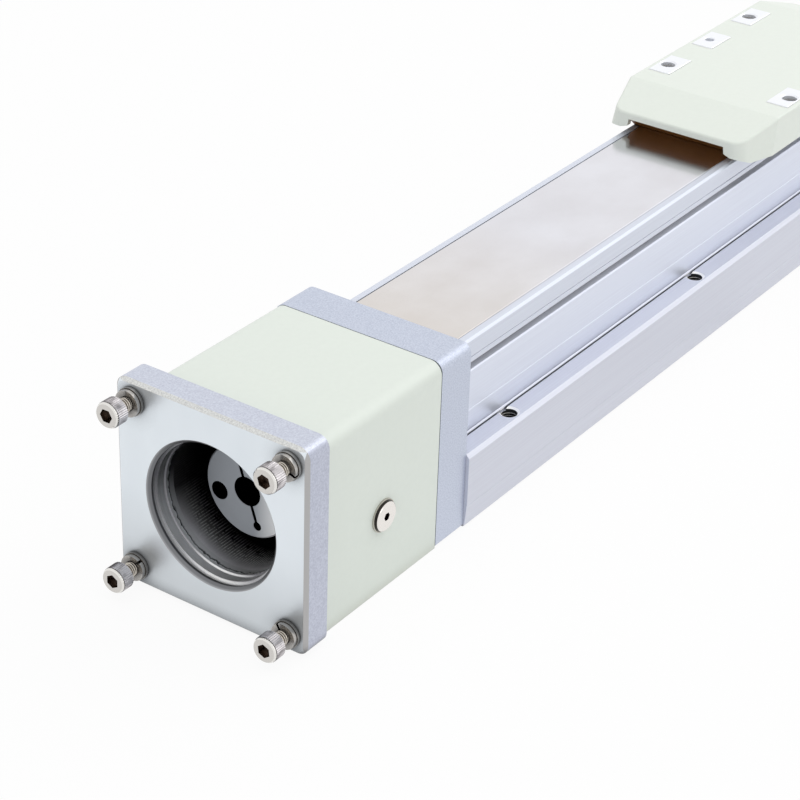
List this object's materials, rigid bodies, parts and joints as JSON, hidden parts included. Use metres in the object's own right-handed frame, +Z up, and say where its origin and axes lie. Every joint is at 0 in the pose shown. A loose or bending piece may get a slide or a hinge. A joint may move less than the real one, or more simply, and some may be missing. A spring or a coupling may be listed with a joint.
{
  "type": "ball screw linear stage",
  "caption": "Closed linear stage: a ball screw moves a covered carriage along a channel base under a steel belt, with an open motor flange and coupling.",
  "frame": {"origin": "centre of the base profile's bottom face", "axes": "+X along the travel, away from the motor flange; +Y to the left; +Z up, away from the bench"},
  "size_m": [0.4427, 0.058, 0.06],
  "materials": {
    "plate_anodised": "satin anodised",
    "pale_green_paint": "satin",
    "pale_green_plastic": "satin",
    "steel_belt": "polished",
    "screw_steel": "polished",
    "bearing_steel": "ground",
    "dark_bore": "dark anodised",
    "coupling_aluminium": "satin",
    "black_plastic": "matt",
    "brown_plastic": "satin",
    "black_rubber": "matt",
    "machined_aluminium": "machined"
  },
  "bodies": {
    "base": {"motor_plate": "plate_anodised", "motor_screws": "screw_steel", "motor_split_washers": "screw_steel", "motor_flat_washers": "screw_steel", "coupling_housing": "dark_bore", "housing_cover": "pale_green_paint", "cover_screws": "screw_steel", "housing_screws": "screw_steel", "bearing_block": "plate_anodised", "bearing_block_screws": "screw_steel", "fixed_bearing_outer_rings": "bearing_steel", "bearing_retainer": "coupling_aluminium", "retainer_screws": "screw_steel", "base_profile": "plate_anodised", "side_cover_left": "plate_anodised", "side_cover_right": "plate_anodised", "guide_rail_left": "bearing_steel", "guide_rail_right": "bearing_steel", "belt_front": "steel_belt", "belt_rear": "steel_belt", "belt_anchors": "machined_aluminium", "belt_clamps": "machined_aluminium", "belt_clamp_screws": "screw_steel", "bumpers": "black_rubber", "end_block": "plate_anodised", "end_block_screws": "screw_steel", "support_bearing_outer_ring": "bearing_steel"},
    "screw": {"ball_screw": "bearing_steel", "fixed_bearing_inner_rings": "bearing_steel", "lock_nut": "dark_bore", "journal_spacer": "bearing_steel", "coupling_motor_hub": "coupling_aluminium", "coupling_screw_hub": "coupling_aluminium", "coupling_clamp_screws": "screw_steel", "coupling_discs": "steel_belt", "coupling_centre_ring": "coupling_aluminium", "support_bearing_inner_ring": "bearing_steel"},
    "carriage": {"guide_block": "machined_aluminium", "guide_caps": "black_plastic", "ball_nut": "bearing_steel", "nut_screws": "screw_steel", "carriage_table": "machined_aluminium", "table_screws": "screw_steel", "carriage_cover": "pale_green_plastic", "belt_guides": "brown_plastic", "belt_hump": "steel_belt"}
  },
  "joints": [
    {"name": "carriage_slide", "type": "slide", "parent": "base", "child": "carriage", "axis": [1, 0, 0], "range_m": [-0.13, 0.07], "deforming": ["belt_front", "belt_rear"]},
    {"name": "screw_spin", "type": "hinge", "parent": "base", "child": "screw", "pos_m": [0, 0, 0.0292], "axis": [1, 0, 0], "range_deg": [-4800, 2700]}
  ],
  "couplings": [
    {"joint": "screw_spin", "follows": "carriage_slide", "rad_per_m": 628.32}
  ]
}
